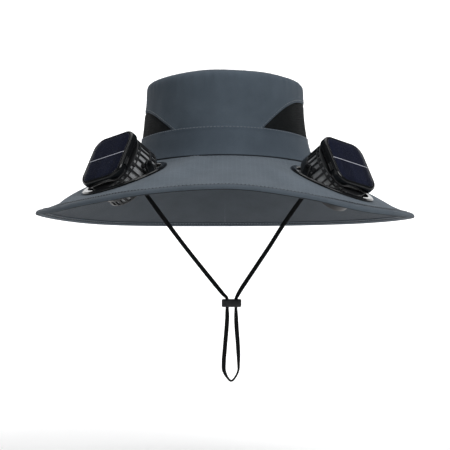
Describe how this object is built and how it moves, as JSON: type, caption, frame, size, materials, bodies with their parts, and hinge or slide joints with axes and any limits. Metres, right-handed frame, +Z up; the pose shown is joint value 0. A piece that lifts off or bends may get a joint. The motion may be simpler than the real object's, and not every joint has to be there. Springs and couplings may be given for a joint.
{
  "type": "solar fan sun hat",
  "caption": "Wide-brimmed cloth sun hat with mesh side vents, a tilting solar-powered fan unit in each front side of the brim, and a chin cord with a slider.",
  "frame": {"origin": "middle of the head opening, level with the seam between crown and brim at the front", "axes": "+Z up out of the crown, -Y towards the front of the hat, +X towards the side that is on the right in a front view"},
  "size_m": [0.3773, 0.4103, 0.3113],
  "materials": {
    "hat_cloth": "tightly woven slate blue-grey polyester",
    "band_cloth": "slate cloth, topstitched along its upper edge",
    "binding_cloth": "slate tape folded over the edge and stitched",
    "vent_mesh": "fine black knitted mesh",
    "gloss_black": "polished black moulded plastic",
    "black_plastic": "satin black moulded plastic",
    "solar_cell": "dark blue cells under clear resin",
    "motor_steel": "plain steel can",
    "cord_cloth": "flat braided black cord"
  },
  "bodies": {
    "hat": {"crown_top": "hat_cloth", "crown_wall": "hat_cloth", "left_mesh_vent": "vent_mesh", "right_mesh_vent": "vent_mesh", "hat_band": "band_cloth", "brim": "hat_cloth", "brim_binding": "binding_cloth", "left_ring": "gloss_black", "right_ring": "gloss_black", "left_ring_lower": "black_plastic", "right_ring_lower": "black_plastic", "left_cord_tab": "binding_cloth", "right_cord_tab": "binding_cloth", "chin_cord": "cord_cloth", "cord_slider": "black_plastic"},
    "left_fan": {"left_fan_drum": "black_plastic", "left_fan_guard": "black_plastic", "left_fan_motor": "motor_steel", "left_panel_housing": "gloss_black", "left_solar_cell": "solar_cell", "left_panel_switch": "black_plastic"},
    "right_fan": {"right_fan_drum": "black_plastic", "right_fan_guard": "black_plastic", "right_fan_motor": "motor_steel", "right_panel_housing": "gloss_black", "right_solar_cell": "solar_cell", "right_panel_switch": "black_plastic"},
    "left_rotor": {"left_impeller": "black_plastic"},
    "right_rotor": {"right_impeller": "black_plastic"}
  },
  "joints": [
    {"name": "left_tilt", "type": "hinge", "parent": "hat", "child": "left_fan", "pos_m": [-0.09457, -0.10941, -0.01363], "axis": [0.6934, -0.7141, 0.0959], "range_deg": [-35.5, 0]},
    {"name": "right_tilt", "type": "hinge", "parent": "hat", "child": "right_fan", "pos_m": [0.10173, -0.10328, -0.01828], "axis": [0.712, 0.6874, -0.1435], "range_deg": [-33.4, 0]},
    {"name": "left_spin", "type": "hinge", "parent": "left_fan", "child": "left_rotor", "pos_m": [-0.09457, -0.10941, -0.01363], "axis": [-0.6341, -0.5416, 0.5519], "continuous": true},
    {"name": "right_spin", "type": "hinge", "parent": "right_fan", "child": "right_rotor", "pos_m": [0.10173, -0.10328, -0.01828], "axis": [0.6341, -0.5416, 0.5519], "continuous": true}
  ]
}
